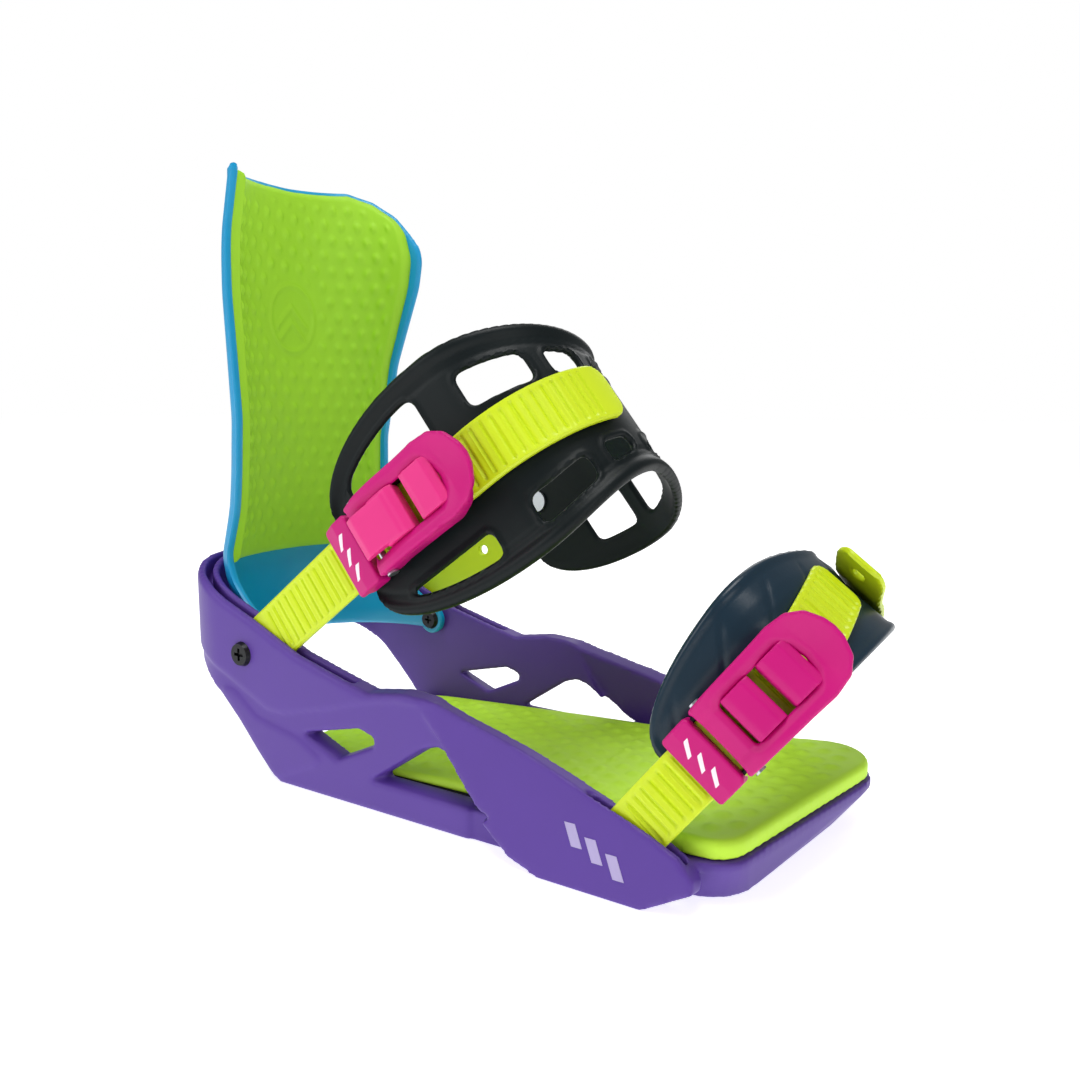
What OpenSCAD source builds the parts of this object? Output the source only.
/* [Base] */
// Distance between the middles of the two side walls
wall_span = 118; // [116:1:122]
// Thickness of a side wall, with the strap slot inside it
wall_t = 9.5; // [9:0.5:10]
// Width of the strap slot in the top of each wall
slot_w = 4.2; // [4:0.1:4.4]
// Depth of the heel hoop behind the place where it starts to curve
hoop_depth = 47; // [44:1:50]
// Outward lean of the front side panels
panel_lean = 12; // [10:1:13]

/* [Mounting disc] */
// Radius of the disc's flange
disc_r = 47; // [45:1:48]
// Distance between the bolt slots, along and across
bolt_pitch = 40; // [40:1:42]
// Half the width of a bolt slot
bolt_slot_r = 3.25; // [3.1:0.05:3.4]
// Length of a bolt slot from end to end
bolt_slot_l = 16; // [12:1:18]

/* [Highback] */
// Height of the hinge line of the highback
hinge_z = 57; // [56:0.5:58]
// Place of the hinge line of the highback
hinge_x = -79; // [-80:0.5:-78]
// Thickness of the highback's shell
shell_t = 3.4; // [3:0.1:3.8]
// Thickness of the highback's pad
pad_t = 5; // [4:0.5:6]

/* [Straps] */
// Slope of the plane that the ankle strap lies in
ankle_slope = 38; // [36:1:40]
// Slope of the plane that the toe strap lies in
toe_slope = 52; // [50:1:54]
// Thickness of a toothed strap
ladder_t = 3; // [2.8:0.1:3.2]
// Size of the toe buckle against the ankle buckle
toe_scale = 0.87; // [0.85:0.01:0.9]
// Reach of the ankle strap towards the heel, at its crest over the ankle
heel_crest = 50; // [46:1:52]
// Reach of the ankle strap towards the toe, over the instep
toe_drop = 50; // [46:1:52]
// Reach of the ankle strap towards the toe, on its far side
far_drop = 57; // [52:1:58]
// Reach of the toe cap towards the heel, at its crest
cap_crest = 37; // [34:1:38]

/* [Hidden] */
$fn = 48;
play = 0.05;
far = 400;

outer_y = wall_span / 2 + wall_t / 2;
inner_y = outer_y - wall_t;
strap_y = wall_span / 2 + 0.75;
hoop_x = -118;

ankle_pivot = [-101, 59.5];
toe_pivot = [97, 13];
toe_y = 65;
panel_top_z = 52;

// The two straps are chains of straights and bends: [length, turn]. They start at the
// near pivot, rise beside the boot, cross over it and come down to the far pivot.
ankle_rise = [[78, 0], [9, 7], [72, 0], [73.6, 83]];
ankle_start = [0, -strap_y, 0];
toe_rise = [[20, 0], [19.5, 14], [49, 0], [22, 46], [83.8, 60]];
toe_start = [0, -toe_y, 0];

function straight(p, l) = [p[0] + l * cos(p[2]), p[1] + l * sin(p[2]), p[2]];
function bend(p, r, a) =
    [p[0] + r * (sin(p[2] + a) - sin(p[2])), p[1] + r * (cos(p[2]) - cos(p[2] + a)), p[2] + a];
function step(p, part, l) =
    part[1] == 0 ? straight(p, l) : bend(p, part[0] * 180 / PI / part[1], part[1] * l / part[0]);
function walk(p, run, l, i = 0) =
    l <= run[i][0] || i == len(run) - 1
        ? step(p, run[i], l)
        : walk(step(p, run[i], run[i][0]), run, l - run[i][0], i + 1);
function length(run) = len(run) == 0 ? 0 : [for (part = run) part[0]] * [for (part = run) 1];

// The rest of a run: one bend down to the far wall, and a straight to its pivot.
function descent(start, rise, y) =
    let (p = walk(start, rise, length(rise)), r = (y - p[1]) / (1 + cos(p[2])))
    [[r * (180 - p[2]) * PI / 180, 180 - p[2]], [p[0] - r * sin(p[2]), 0]];
function off_path(p, out, w) = [p[0] + out * sin(p[2]), p[1] - out * cos(p[2]), w];

ankle_run = concat(ankle_rise, descent(ankle_start, ankle_rise, strap_y));
ankle_end = length(ankle_run);
toe_run = concat(toe_rise, descent(toe_start, toe_rise, toe_y));
toe_end = length(toe_run);

// A flat band along a strap's run, between two offsets and two edges that vary.
module band(start, run, from, to, steps, inside, outside, low, high) {
    stops = [for (i = [0:steps]) from + (to - from) * i / steps];
    pts = [for (l = stops) let (p = walk(start, run, l), a = lookup(l, low), b = lookup(l, high))
        each [off_path(p, inside, a), off_path(p, outside, a),
            off_path(p, outside, b), off_path(p, inside, b)]];
    last = 4 * steps;
    sides = [for (i = [0:steps - 1], k = [0:3]) let (a = 4 * i + k, b = 4 * i + (k + 1) % 4)
        each [[a, b, a + 4], [b, b + 4, a + 4]]];
    ends = [[0, 2, 1], [0, 3, 2], [last, last + 1, last + 2], [last, last + 2, last + 3]];
    polyhedron(pts, concat(sides, ends));
}

module ankle_frame() {
    translate([ankle_pivot[0], 0, ankle_pivot[1]]) rotate([0, -ankle_slope, 0]) children();
}

module toe_frame() {
    translate([toe_pivot[0], 0, toe_pivot[1]]) rotate([0, -toe_slope, 0]) children();
}

module mirrored_y() {
    children();
    mirror([0, 1, 0]) children();
}

module side_cut(outline, depth = far) {
    translate([0, depth / 2, 0]) rotate([90, 0, 0]) linear_extrude(depth) polygon(outline);
}

// Plan of the walls and the hoop: a U whose bottom is half an ellipse.
function u_outline(y, depth, front) = concat(
    [[front, -y]],
    [for (a = [-90:5:90]) [hoop_x - depth * cos(a), y * sin(a)]],
    [[front, y]]);

module u_ring(y_out, y_in, front) {
    linear_extrude(160) difference() {
        polygon(u_outline(y_out, hoop_depth - (outer_y - y_out), front));
        polygon(u_outline(y_in, hoop_depth - (outer_y - y_in), front + 1));
    }
}

wall_top = [[-170, 101], [-150, 98], [-130, 92], [-114, 84], [-97, 77.5], [-66, 64],
    [-40, 57], [-24, 53], [-5, 56], [8, 55.4], [13, 54]];
wall_bottom = [[72, 0], [-80, 0], [-86, 4], [-95, 13], [-106, 25], [-119, 37], [-135, 47.5],
    [-150, 53], [-170, 57]];
window_a = [[-62, 27.5], [-30, 35.2], [-22, 33], [-22, 29], [-42, 19.5]];
window_b = [[-20, 14.5], [7, 33], [14, 35.3], [20, 34], [27, 29.5], [40, 18], [50, 14.5]];
panel = [[13, 55], [26, 51.5], [55, 44.5], [73, 39], [92, 32.6], [112, 25.5], [124, 20],
    [131, 13], [131, 9], [113, -1], [108, -2], [72, -2], [56, 3], [43, 12], [27, 30], [7, 50], [8, 55.4]];

module rear_shell() {
    intersection() {
        u_ring(outer_y, inner_y, 30);
        side_cut(concat(wall_top, [[27, 30]], wall_bottom));
    }
}

module bottom_rail() {
    mirrored_y() translate([0, inner_y, 0]) rotate([90, 0, 0]) mirror([0, 0, 1])
        linear_extrude(8) polygon([[-80, 0], [78, 0], [78, 13], [-60, 13], [-89, 8]]);
}

// The front side panels lean outwards from their top edge.
module front_panel() {
    mirrored_y() translate([0, outer_y, panel_top_z]) rotate([panel_lean, 0, 0])
        translate([0, 0, -panel_top_z]) rotate([90, 0, 0]) linear_extrude(wall_t) polygon(panel);
}

floor_top = [[-90, 8], [-80, 8.3], [-20, 11], [60, 12.5], [76, 13], [130, 17], [166, 19]];

// The toe end is a slanted straight front between two round corners, the outer one larger.
near_corner = [130, -47];
near_corner_r = 12.5;
far_corner = [142, 42];
far_corner_r = 22;
toe_ledge = 1.5;
function corner(middle, r, from, to) =
    [for (i = [0:5]) let (a = from + (to - from) * i / 5) middle + r * [cos(a), sin(a)]];
function toe_front(grow) =
    concat(corner(near_corner, near_corner_r + grow, -90, -18),
        corner(far_corner, far_corner_r + grow, -15, 90));
toe_top = concat([[60, -61]], toe_front(toe_ledge), [[60, 61]]);

toe_foot = concat([[60, -62]], corner([120, -34], 22, -90, -20),
    corner([127, 32], 26, -10, 90), [[60, 62]]);

module floor_plate() {
    intersection() {
        translate([0, 0, -1]) linear_extrude(40) polygon([[-95, -inner_y - 1], [90, -inner_y - 1],
            [90, inner_y + 1], [-95, inner_y + 1]]);
        side_cut([[-82, 0], [80, 0], [80, 13.2], [60, 12.5], [-20, 11], [-80, 8.3], [-91, 7.8]]);
    }
}

module toe_platform() {
    intersection() {
        hull() {
            linear_extrude(1) polygon(toe_foot);
            translate([0, 0, 15]) linear_extrude(6) polygon(toe_top);
        }
        side_cut(concat(floor_top, [[166, -1], [55, -1], [-90, -1]]));
    }
}

module wall_slots() {
    intersection() {
        u_ring(strap_y + slot_w / 2, strap_y - slot_w / 2, -34);
        side_cut([[-180, 95], [-150, 89], [-130, 74], [-122, 44], [-80, 43], [-34, 48], [-34, 120],
            [-180, 120]]);
    }
    mirrored_y() translate([86, toe_y - slot_w / 2 + 0.3, 3]) cube([40, slot_w - 0.6, 60]);
}

module wall_holes() {
    for (at = [ankle_pivot, [-110.5, 65], [-86.5, 56.2]])
        translate([at[0], 0, at[1]]) rotate([90, 0, 0]) cylinder(r = 2.6, h = far, center = true);
    mirrored_y() {
        translate([ankle_pivot[0], inner_y, ankle_pivot[1]]) rotate([-90, 0, 0]) {
            cylinder(r = 3.5 + play, h = 20);
            translate([0, 0, -1]) cylinder(r = 7 + play, h = 2.6);
        }
        translate([toe_pivot[0], inner_y - 1, toe_pivot[1]]) rotate([-90, 0, 0]) {
            cylinder(r = 3 + play, h = toe_y + slot_w / 2 + 2.4 - inner_y);
            cylinder(r = 6, h = toe_y - slot_w / 2 - 2.2 - inner_y);
        }
        translate([hinge_x, inner_y - 1, hinge_z]) rotate([-90, 0, 0]) cylinder(r = 2.5, h = 3.6);
    }
}

module baseplate() {
    color("mediumpurple") difference() {
        union() {
            rear_shell();
            bottom_rail();
            front_panel();
            floor_plate();
            toe_platform();
        }
        side_cut(window_a);
        side_cut(window_b);
        wall_slots();
        wall_holes();
        translate([0, 0, -1]) cylinder(r = disc_r - 5 + 0.3, h = 20);
        translate([0, 0, 4]) cylinder(r = disc_r + 0.3, h = 20);
        translate([0, 0, -50]) cube([far, far, 100], center = true);
    }
}

// Mounting disc: a flanged plate with four countersunk bolt slots.
module bolt_slot(r, h) {
    for (side = [-1, 1])
        translate([side * (bolt_slot_l / 2 - bolt_slot_r), 0, 0]) cylinder(r = r, h = h);
    translate([-bolt_slot_l / 2 + bolt_slot_r, -r, 0]) cube([bolt_slot_l - 2 * bolt_slot_r, 2 * r, h]);
}

module mounting_disc() {
    color("#202224") difference() {
        union() {
            cylinder(r = disc_r - 5, h = 8);
            translate([0, 0, 4]) cylinder(r = disc_r, h = 5);
        }
        for (x = [-1, 1], y = [-1, 1])
            translate([x, y, 0] * bolt_pitch / 2) {
                translate([0, 0, -1]) bolt_slot(bolt_slot_r, 20);
                translate([0, 0, 3.5]) bolt_slot(6.2, 20);
            }
        translate([0, 0, 7]) cylinder(r = 8, h = 5);
    }
}

bed_side = 53.5;
bed_toe_side = 57;
bed_plan = concat([[-84, -50], [-70, -bed_side], [58, -bed_side], [84, -bed_toe_side], [110, -bed_toe_side]],
    toe_front(0),
    [[128, 62], [110, bed_toe_side], [84, bed_toe_side], [58, bed_side], [-70, bed_side], [-84, 50],
    [-89, 44], [-89, -44]]);

module footbed_underlay() {
    color("#17181a") difference() {
        intersection() {
            linear_extrude(40) polygon([[-70, -54], [70, -54], [70, 54], [-70, 54]]);
            side_cut([[-70, 9.05], [-20, 11.3], [60, 12.8], [70, 13.1], [70, 15], [60, 14.7],
                [-20, 13.1], [-70, 10.9]]);
        }
        cylinder(r = disc_r + 3, h = 60);
    }
}

module footbed() {
    color("yellowgreen") intersection() {
        linear_extrude(60) polygon(bed_plan);
        side_cut([[-90, 8.8], [-71, 9], [-70.5, 11.2], [-20, 13.4], [60, 15], [72, 15.3], [76, 13.5],
            [130, 17.4], [166, 19.4], [166, 26.5], [150, 25.8], [110, 23.4], [56, 20.2], [31, 19],
            [-19, 16.2], [-64, 13.4], [-90, 11.8]]);
    }
}

// Bolts that the ankle straps turn on, with their threaded nuts in the inner skin.
module cross_recess(size) {
    for (a = [0, 90]) rotate([0, 0, a]) cube([size, size / 4, 3], center = true);
}

module ankle_bolts() {
    color("#1b1c1f") mirrored_y()
        translate([ankle_pivot[0], 0, ankle_pivot[1]]) rotate([-90, 0, 0]) difference() {
            union() {
                translate([0, 0, inner_y + 0.4]) cylinder(r = 3, h = 8);
                translate([0, 0, inner_y + 3.6]) cylinder(r = 3.5, h = wall_t - 3.6 + 0.1);
                translate([0, 0, outer_y]) cylinder(r1 = 6.4, r2 = 5.2, h = 3.2);
            }
            translate([0, 0, outer_y + 3.2]) cross_recess(6);
        }
}

module ankle_nuts() {
    color("silver") mirrored_y()
        translate([ankle_pivot[0], 0, ankle_pivot[1]]) rotate([-90, 0, 0]) difference() {
            union() {
                translate([0, 0, inner_y]) cylinder(r = 7, h = 1.6);
                translate([0, 0, inner_y]) cylinder(r = 3.5, h = 3.3);
            }
            translate([0, 0, inner_y - 1]) cylinder(r = 3.02, h = 9);
        }
}

module toe_bolts() {
    color("#1b1c1f") mirrored_y()
        translate([toe_pivot[0], 0, toe_pivot[1]]) rotate([-90, 0, 0]) difference() {
            union() {
                translate([0, 0, toe_y - slot_w / 2 - 5.2]) cylinder(r1 = 4.6, r2 = 5.8, h = 2);
                translate([0, 0, toe_y - slot_w / 2 - 3.4]) cylinder(r = 3, h = slot_w + 4.6);
            }
            translate([0, 0, toe_y - slot_w / 2 - 5.2]) cross_recess(5);
        }
}

module highback_screws() {
    color("#1b1c1f") mirrored_y()
        translate([hinge_x, 0, hinge_z]) rotate([-90, 0, 0]) difference() {
            union() {
                translate([0, 0, inner_y - 6.2]) cylinder(r1 = 4.4, r2 = 5.6, h = 2);
                translate([0, 0, inner_y - 4.4]) cylinder(r = 3, h = 4.4);
                translate([0, 0, inner_y - 0.1]) cylinder(r = 2.5, h = 2.6);
            }
            translate([0, 0, inner_y - 6.2]) cross_recess(4.4);
        }
}

// The highback is a curved sheet. Each level is half an ellipse between a back line and two
// front edges, and the tables give their places at each height.
back_line = [[50, -145], [75, -147], [100, -147], [130, -142], [170, -138], [230, -138], [290, -132]];
near_edge = [[50, -84], [58, -74], [64, -76], [70, -92], [78, -108], [90, -120], [102, -125],
    [125, -118.5], [170, -114.5], [230, -117.5], [260, -116.5], [290, -112]];
far_edge = [[50, -84], [58, -74], [64, -76], [70, -86], [78, -96], [90, -104], [102, -108],
    [160, -108], [200, -100], [240, -85], [256, -82], [270, -86], [290, -97]];
half_width = [[50, 53.4], [70, 53], [100, 51.5], [140, 50], [200, 51], [250, 52], [290, 49]];
top_drop = [[-90, 0], [-60, 2], [0, 0], [45, -3], [65, 1], [80, 9], [90, 26]];

function sheet_at(a, z, out) =
    let (b = lookup(z, back_line), edge = lookup(z, a < 0 ? near_edge : far_edge),
        w = lookup(z, half_width), n = [-cos(a) * w, sin(a) * (edge - b)], m = norm(n))
    [edge - (edge - b) * cos(a) + out * n[0] / m, w * sin(a) + out * n[1] / m, z];

module sheet(low, high, spread, inside, outside) {
    rows = 18;
    cols = 18;
    grid = [for (out = [inside, outside], i = [0:rows], j = [0:cols])
        let (a = -spread + 2 * spread * j / cols, top = high - lookup(a, top_drop))
        sheet_at(a, low + (top - low) * i / rows, out)];
    w = cols + 1;
    layer = w * (rows + 1);
    skins = [for (i = [0:rows - 1], j = [0:cols - 1]) let (a = i * w + j)
        each [[a, a + w, a + 1], [a + 1, a + w, a + w + 1],
            [a + layer, a + layer + 1, a + layer + w],
            [a + layer + 1, a + layer + w + 1, a + layer + w]]];
    rims = [for (j = [0:cols - 1]) let (a = j, b = rows * w + j)
        each [[a, a + 1, a + layer], [a + 1, a + layer + 1, a + layer],
            [b, b + layer, b + 1], [b + 1, b + layer, b + layer + 1]]];
    flanks = [for (i = [0:rows - 1]) let (a = i * w, b = i * w + cols)
        each [[a, a + layer, a + w], [a + w, a + layer, a + w + layer],
            [b, b + w, b + layer], [b + w, b + w + layer, b + layer]]];
    polyhedron(grid, concat(skins, rims, flanks));
}

pad_gap = 0.8;
slot_z = 107;
slot_rise = 12;

module highback() {
    color("deepskyblue") difference() {
        union() {
            sheet(52, 288, 90, -shell_t, 0);
            mirrored_y() translate([hinge_x, inner_y - 4.2, hinge_z]) rotate([-90, 0, 0])
                cylinder(r = 8, h = 3.7);
            translate([-152, -11, slot_z - 6]) cube([10, 22, 34]);
        }
        mirrored_y() translate([hinge_x, inner_y - 9, hinge_z]) rotate([-90, 0, 0])
            cylinder(r = 3 + play, h = 12);
        mirrored_y() translate([hinge_x, inner_y - 12.2, hinge_z]) rotate([-90, 0, 0])
            cylinder(r = 6.2, h = 8);
        for (z = [0, slot_rise])
            translate([-160, 0, slot_z + z]) rotate([0, 90, 0]) cylinder(r = 2.8, h = 30);
        translate([-160, -2.8, slot_z]) cube([30, 5.6, slot_rise]);
        translate([-147.5, -5, slot_z - 5.5]) cube([20, 10, slot_rise + 11]);
    }
}

module highback_pad() {
    color("yellowgreen") sheet(99, 286, 84, -shell_t - pad_t, -shell_t - pad_gap);
}

module lean_block() {
    color("#17181a") difference() {
        translate([-167, -13, slot_z - 5.2]) intersection() {
            cube([14.7, 26, 17]);
            translate([12, 13, -1]) cylinder(r = 15, h = 30);
        }
        translate([-170, 0, slot_z]) rotate([0, 90, 0]) cylinder(r = 2.5 + play, h = 30);
        translate([-170, 0, slot_z]) rotate([0, 90, 0]) cylinder(r = 4.7, h = 8.3);
    }
}

module lean_screw() {
    color("silver") difference() {
        union() {
            translate([-164.3, 0, slot_z]) rotate([0, 90, 0]) cylinder(r = 4.4, h = 2.4);
            translate([-163, 0, slot_z]) rotate([0, 90, 0]) cylinder(r = 2.5, h = 18);
            translate([-147.2, -4, slot_z - 4]) cube([2.4, 8, 8]);
        }
        translate([-164.3, 0, slot_z]) rotate([0, 90, 0]) cross_recess(4);
    }
}

// A strap's round end, and the bore that it turns on.
module strap_eye(y, r) {
    translate([0, y, 0]) rotate([90, 0, 0]) cylinder(r = r, h = ladder_t, center = true);
}

module eye_bore(y, r) {
    translate([0, y, 0]) rotate([90, 0, 0]) cylinder(r = r + play, h = 20, center = true);
}

ankle_w = 26;
ankle_shift = -2;
connector_s = 114;
ladder_end = 231;
toe_w = 22.6;
toe_eye_r = 9;

module ankle_ladder() {
    low = ankle_shift - ankle_w / 2;
    high = ankle_shift + ankle_w / 2;
    color("greenyellow") ankle_frame() difference() {
        union() {
            strap_eye(-strap_y, ankle_w / 2 + ankle_shift);
            band(ankle_start, ankle_run, 0, ladder_end, 32, -ladder_t / 2, ladder_t / 2,
                [[0, low], [ladder_end - 9, low], [ladder_end, low + 7]],
                [[0, high], [ladder_end - 9, high], [ladder_end, high - 7]]);
        }
        eye_bore(-strap_y, 3.5);
    }
}

module ankle_connector() {
    low = ankle_shift - ankle_w / 2;
    high = ankle_shift + ankle_w / 2;
    color("yellowgreen") ankle_frame() difference() {
        union() {
            strap_eye(strap_y, ankle_w / 2 + ankle_shift);
            band(ankle_start, ankle_run, ankle_end - 130, ankle_end, 12, -ladder_t / 2, ladder_t / 2,
                level(low), level(high));
        }
        eye_bore(strap_y, 3.5);
        translate([connector_s, 0, ankle_shift]) eye_bore(strap_y, 2.5);
    }
}

strap_in = -6.3;
strap_out = -2.9;

// An edge that swings out as a quarter ellipse, and one that eases from one width to another.
function arch(l, from, to, low, high) = low + (high - low) * sqrt(1 - pow((to - l) / (to - from), 2));
function swell(l, from, to, a, b) = a + (b - a) * (1 - cos(180 * (l - from) / (to - from))) / 2;

// The ankle strap's heel edge climbs to a crest over the ankle and eases down to a shoulder.
// Its toe edge drops over the instep, draws in to a waist, and drops again on the far side.
heel_crest_l = 145;
shoulder_l = 270;
shoulder_w = 30;
toe_crest_l = 160;
waist_l = 230;
waist_w = 40;
far_drop_l = 300;
strap_from = 84;
strap_to = 374;
strap_end_heel = 18;
strap_end_toe = 24;
function heel_edge(l) =
    l < heel_crest_l ? arch(l, strap_from, heel_crest_l, strap_end_heel, heel_crest)
    : l < shoulder_l ? swell(l, heel_crest_l, shoulder_l, heel_crest, shoulder_w)
    : swell(l, shoulder_l, strap_to, shoulder_w, strap_end_heel);
function toe_edge(l) =
    l < toe_crest_l ? -arch(l, strap_from, toe_crest_l, strap_end_toe, toe_drop)
    : l < waist_l ? -swell(l, toe_crest_l, waist_l, toe_drop, waist_w)
    : l < far_drop_l ? -swell(l, waist_l, far_drop_l, waist_w, far_drop)
    : -arch(l, strap_to, far_drop_l, strap_end_toe, far_drop);

function level(w) = [[0, w], [500, w]];

// The ankle strap is a lattice: two rims and a middle, joined by ribs with windows between.
strap_rows = 40;
middle = [-18, 14];
rim_w = 13;
function strap_lines(l) =
    let (low = toe_edge(l), high = heel_edge(l))
    [low, low + min(rim_w, 0.6 * (middle[0] - low)), middle[0], middle[1],
        high - min(rim_w, 0.6 * (high - middle[1])), high];
function is_rib(row, side) = row < 2 || row > strap_rows - 3 || row % 7 == (side > 2 ? 5 : 6);
function is_solid(row, col) =
    row >= 0 && row < strap_rows && col >= 0 && col < 5 && (col % 2 == 0 || is_rib(row, col));

module lattice(start, run) {
    pts = [for (out = [strap_in, strap_out], i = [0:strap_rows])
        let (l = strap_from + (strap_to - strap_from) * i / strap_rows)
        for (w = strap_lines(l)) off_path(walk(start, run, l), out, w)];
    skin = 6 * (strap_rows + 1);
    cells = [for (i = [0:strap_rows - 1], j = [0:4]) if (is_solid(i, j)) [i, j]];
    skins = [for (c = cells) let (a = 6 * c[0] + c[1], b = a + skin)
        each [[a, a + 6, a + 1], [a + 1, a + 6, a + 7], [b, b + 1, b + 6], [b + 1, b + 7, b + 6]]];
    walls = [for (c = cells, side = [[-1, 0, 0, 1], [1, 0, 7, 6], [0, -1, 6, 0], [0, 1, 1, 7]])
        if (!is_solid(c[0] + side[0], c[1] + side[1]))
            let (o = 6 * c[0] + c[1], a = o + side[2], b = o + side[3])
            each [[a, b, a + skin], [b, b + skin, a + skin]]];
    polyhedron(pts, concat(skins, walls));
}

module ankle_strap() {
    color("#15191c") ankle_frame() difference() {
        lattice(ankle_start, ankle_run);
        translate([connector_s, strap_y - 5, ankle_shift]) eye_bore(0, 2.5);
    }
}

module connector_screw(y) {
    rotate([-90, 0, 0]) difference() {
        union() {
            translate([0, 0, y - 8]) cylinder(r = 5.5, h = 1.6);
            translate([0, 0, y - 7]) cylinder(r = 2.5, h = 9);
            translate([0, 0, y + 1.6]) cylinder(r1 = 4.8, r2 = 3.6, h = 2);
        }
        translate([0, 0, y + 3.6]) cross_recess(4);
    }
}

module ankle_connector_screw() {
    color("silver") ankle_frame() translate([connector_s, 0, ankle_shift]) connector_screw(strap_y);
}

module toe_ladder() {
    t = ladder_t * toe_scale;
    color("greenyellow") toe_frame() difference() {
        union() {
            strap_eye(-toe_y, toe_eye_r);
            band(toe_start, toe_run, 0, 148, 28, -t / 2, t / 2,
                [[0, -toe_eye_r], [8, -toe_w / 2], [95, -toe_w / 2], [142, 11 - toe_w / 2],
                    [148, 15 - toe_w / 2]],
                [[0, toe_eye_r], [8, toe_w / 2], [95, toe_w / 2], [142, 11 + toe_w / 2],
                    [148, 7 + toe_w / 2]]);
        }
        eye_bore(-toe_y, 3);
    }
}

module toe_connector() {
    color("yellowgreen") toe_frame() difference() {
        union() {
            strap_eye(toe_y, toe_eye_r);
            band(toe_start, toe_run, 151, toe_end, 22, -1.3, 1.3,
                [[151, 5], [156, 10 - toe_w / 2], [220, -toe_w / 2], [toe_end - 8, -toe_w / 2],
                    [toe_end, -toe_eye_r]],
                [[151, 16], [156, 10 + toe_w / 2], [220, toe_w / 2], [toe_end - 8, toe_w / 2],
                    [toe_end, toe_eye_r]]);
        }
        eye_bore(toe_y, 3);
        translate([36, 0, 0]) eye_bore(toe_y, 2.5);
    }
}

// The toe cap is a cup: both edges swing out from its ends, and the heel edge has a low crest.
cap_from = 40;
cap_to = 276;
cap_step = 4;
cap_crest_l = 116;
cap_far_l = 220;
cap_side_l = 170;
cap_side_w = 31;
cap_toe_l = 75;
cap_toe_w = 14;
cap_end_heel = 13;
cap_end_toe = 2;
function cap_heel_edge(l) =
    l < cap_crest_l ? arch(l, cap_from, cap_crest_l, cap_end_heel, cap_crest)
    : l < cap_side_l ? swell(l, cap_crest_l, cap_side_l, cap_crest, cap_side_w)
    : l < cap_far_l ? cap_side_w
    : arch(l, cap_to, cap_far_l, cap_end_heel, cap_side_w);
function cap_toe_edge(l) =
    l < cap_toe_l ? -arch(l, cap_from, cap_toe_l, cap_end_toe, cap_toe_w)
    : l < cap_far_l ? -cap_toe_w
    : -arch(l, cap_to, cap_far_l, cap_end_toe, cap_toe_w);

module toe_cap() {
    low = [for (l = [cap_from:cap_step:cap_to]) [l, cap_toe_edge(l)]];
    high = [for (l = [cap_from:cap_step:cap_to]) [l, cap_heel_edge(l)]];
    color("#1d2a30") toe_frame() difference() {
        band(toe_start, toe_run, cap_from, cap_to, 40, -5.6, -2.6, low, high);
        translate([36, toe_y - 8, 0]) eye_bore(0, 2.5);
    }
}

module toe_connector_screw() {
    color("silver") toe_frame() translate([36, 0, 0]) connector_screw(toe_y);
}

// Ratchet buckle, in its own frame: X along the strap from its lower end, Y across it
// towards the heel, Z away from the boot, with Z = 0 in the middle of the toothed strap.
lever_pin_at = [20, 0, 6.2];
lock_pin_at = [38, 0, 6.2];
drive_pin_at = [56, 0, 6.4];
screw_x = [27, 44];

module ankle_buckle_frame() {
    q = walk(ankle_start, ankle_run, 100);
    ankle_frame() translate([q[0], q[1], ankle_shift]) rotate([90, 0, q[2]]) translate([-17.5, 0, 0])
        children();
}

module toe_buckle_frame() {
    q = walk(toe_start, toe_run, 68);
    toe_frame() translate([q[0], q[1], 0]) rotate([90, 0, q[2]]) scale(toe_scale)
        translate([-23, 0, 0]) children();
}

module across(at, r, half) {
    translate([at[0], 0, at[2]]) rotate([90, 0, 0]) cylinder(r = r, h = 2 * half, center = true);
}

module buckle_base() {
    difference() {
        union() {
            translate([6, -14.8, -2.85]) cube([44, 29.6, 0.95]);
            for (side = [-1, 1])
                translate([12, side * 14.1 - 0.7, -2.85]) {
                    cube([38, 1.4, 6]);
                    translate([5, 0, 0]) cube([29, 1.4, 10.8]);
                }
        }
        across(lever_pin_at, 1.6 + play, 30);
        across(lock_pin_at, 1.4 + play, 30);
        for (x = screw_x) translate([x, 0, -5]) cylinder(r = 2.1, h = 10);
    }
}

module buckle_cover() {
    difference() {
        translate([0, 17, 0]) rotate([90, 0, 0]) linear_extrude(34)
            polygon([[-1, 1.8], [-1, 3.6], [4, 6.6], [11.5, 7.2], [11.5, -1.5], [6, -1.5], [6, 1.8]]);
        translate([6, -15.1, -5]) cube([30, 30.2, 6.8]);
    }
}

module buckle_screws() {
    for (x = screw_x) translate([x, 0, 0]) {
        translate([0, 0, -2.9]) cylinder(r = 2, h = 1);
        translate([0, 0, -6.2]) cylinder(r = 1.6, h = 4);
    }
}

module lever() {
    difference() {
        union() {
            for (side = [-1, 1]) translate([0, side * 16.2 + 0.9, 0]) rotate([90, 0, 0])
                linear_extrude(1.8) polygon([[15.5, 3.5], [17, 2], [23, 2], [34, 3.5], [60, 3.5],
                    [72, 7], [79, 13], [77, 15.5], [66, 12.5], [30, 12.5], [17, 11.5], [15.5, 9]]);
            translate([0, 17, 0]) rotate([90, 0, 0]) linear_extrude(34)
                polygon([[17.5, 10], [17.5, 11.8], [30, 12.6], [64, 12.6], [76, 15.5], [79, 13.5],
                    [72, 10.6], [64, 9.6], [30, 10]]);
        }
        translate([26, -12, 5]) cube([41, 24, 20]);
        across(lever_pin_at, 1.6 + play, 30);
        across(drive_pin_at, 1.4, 30);
    }
}

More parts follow.
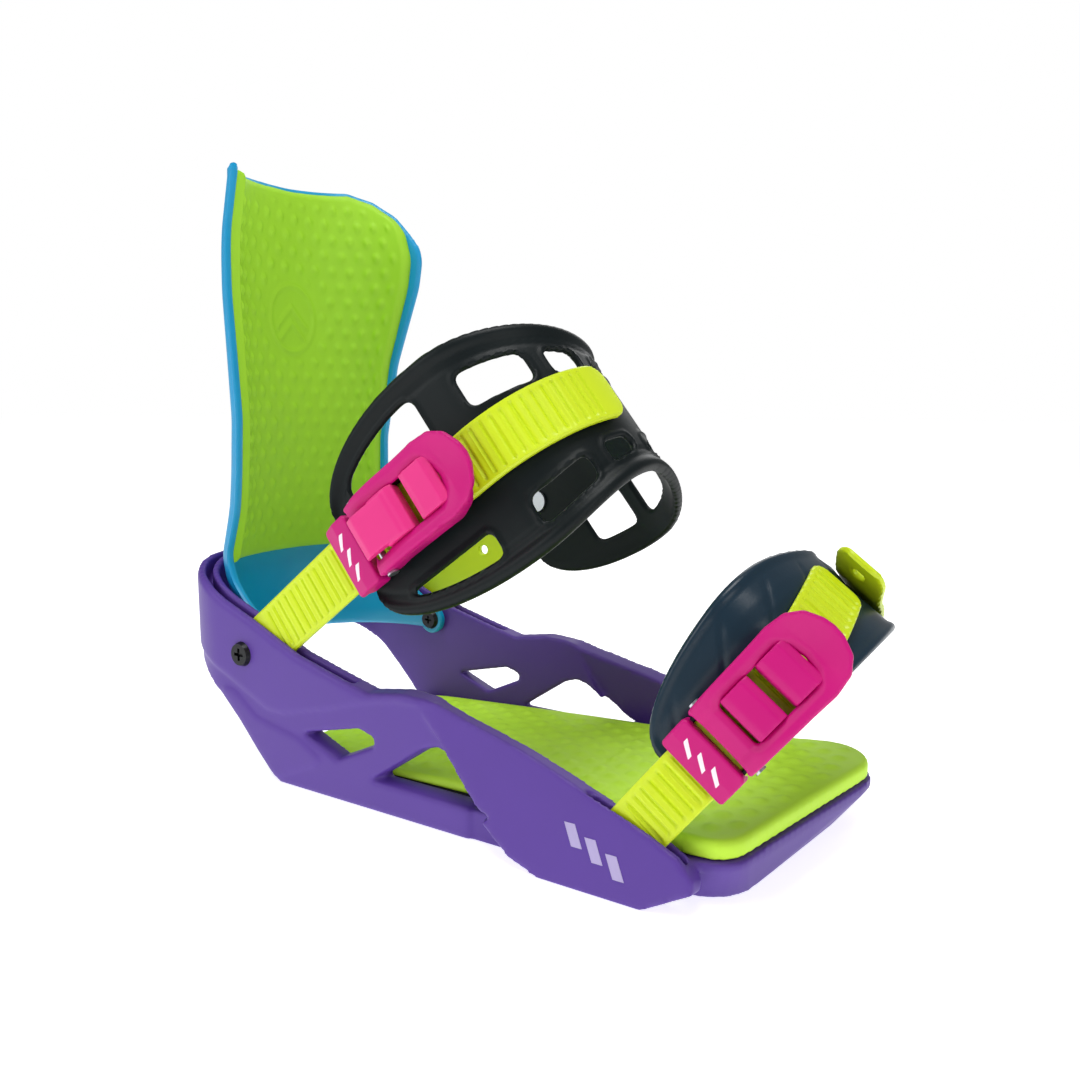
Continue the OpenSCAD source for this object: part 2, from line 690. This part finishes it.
module pawl(at, from, to, top) {
    difference() {
        union() {
            across(at, 3.2, 10.6);
            translate([0, 10.6, 0]) rotate([90, 0, 0]) linear_extrude(21.2)
                polygon([[from, 7], [from + 2, top - 1], [from + 5, top], [to - 3, top], [to, top - 2],
                    [to - 1, 7], [at[0] + 2, 4], [at[0] - 3, 4]]);
            translate([0, 9, 0]) rotate([90, 0, 0]) linear_extrude(18)
                polygon([[at[0] - 8, 2.1], [at[0] - 4, 3], [at[0] + 2, 4], [at[0], 7], [at[0] - 7, 7]]);
        }
        across(at, 1.4 + play, 30);
        translate([at[0] - 4, -3.2, 1]) cube([8, 6.4, 8.7]);
    }
}

module pin(at, r, half, head) {
    across(at, r, half);
    for (side = [-1, 1]) translate([at[0], side * (half - 0.4), at[2]]) rotate([90, 0, 0])
        cylinder(r = head, h = 0.8, center = true);
}

module lock_spring() {
    translate([lock_pin_at[0], 0, lock_pin_at[2]]) rotate([90, 0, 0])
        for (i = [-2:2]) translate([0, 0, i * 1.1]) rotate_extrude() translate([2.1, 0]) circle(r = 0.45);
}

module ankle_buckle_base() { color("#2a2c30") ankle_buckle_frame() buckle_base(); }
module ankle_buckle_cover() { color("deeppink") ankle_buckle_frame() buckle_cover(); }
module ankle_buckle_screws() { color("silver") ankle_buckle_frame() buckle_screws(); }
module ankle_lever() { color("deeppink") ankle_buckle_frame() lever(); }
module ankle_lock_pawl() { color("hotpink") ankle_buckle_frame() pawl(lock_pin_at, 27.5, 44, 15); }
module ankle_drive_pawl() { color("hotpink") ankle_buckle_frame() pawl(drive_pin_at, 47, 64, 14.4); }
module ankle_lever_pin() { color("silver") ankle_buckle_frame() pin(lever_pin_at, 1.6, 18.2, 2.6); }
module ankle_lock_pin() { color("silver") ankle_buckle_frame() pin(lock_pin_at, 1.4, 15, 1.4); }
module ankle_drive_pin() { color("silver") ankle_buckle_frame() pin(drive_pin_at, 1.4, 17.1, 1.4); }
module ankle_lock_spring() { color("silver") ankle_buckle_frame() lock_spring(); }
module toe_buckle_base() { color("#2a2c30") toe_buckle_frame() buckle_base(); }
module toe_buckle_cover() { color("deeppink") toe_buckle_frame() buckle_cover(); }
module toe_buckle_screws() { color("silver") toe_buckle_frame() buckle_screws(); }
module toe_lever() { color("deeppink") toe_buckle_frame() lever(); }
module toe_lock_pawl() { color("deeppink") toe_buckle_frame() pawl(lock_pin_at, 27.5, 44, 15); }
module toe_drive_pawl() { color("deeppink") toe_buckle_frame() pawl(drive_pin_at, 47, 64, 14.4); }
module toe_lever_pin() { color("silver") toe_buckle_frame() pin(lever_pin_at, 1.6, 18.2, 2.6); }
module toe_lock_pin() { color("silver") toe_buckle_frame() pin(lock_pin_at, 1.4, 15, 1.4); }
module toe_drive_pin() { color("silver") toe_buckle_frame() pin(drive_pin_at, 1.4, 17.1, 1.4); }
module toe_lock_spring() { color("silver") toe_buckle_frame() lock_spring(); }

baseplate();
mounting_disc();
footbed_underlay();
footbed();
ankle_bolts();
ankle_nuts();
toe_bolts();
highback_screws();
highback();
highback_pad();
lean_block();
lean_screw();
ankle_strap();
ankle_connector();
ankle_connector_screw();
ankle_ladder();
toe_cap();
toe_connector();
toe_connector_screw();
toe_ladder();
ankle_buckle_base();
ankle_buckle_cover();
ankle_buckle_screws();
ankle_lever();
ankle_lock_pawl();
ankle_drive_pawl();
ankle_lever_pin();
ankle_lock_pin();
ankle_drive_pin();
ankle_lock_spring();
toe_buckle_base();
toe_buckle_cover();
toe_buckle_screws();
toe_lever();
toe_lock_pawl();
toe_drive_pawl();
toe_lever_pin();
toe_lock_pin();
toe_drive_pin();
toe_lock_spring();
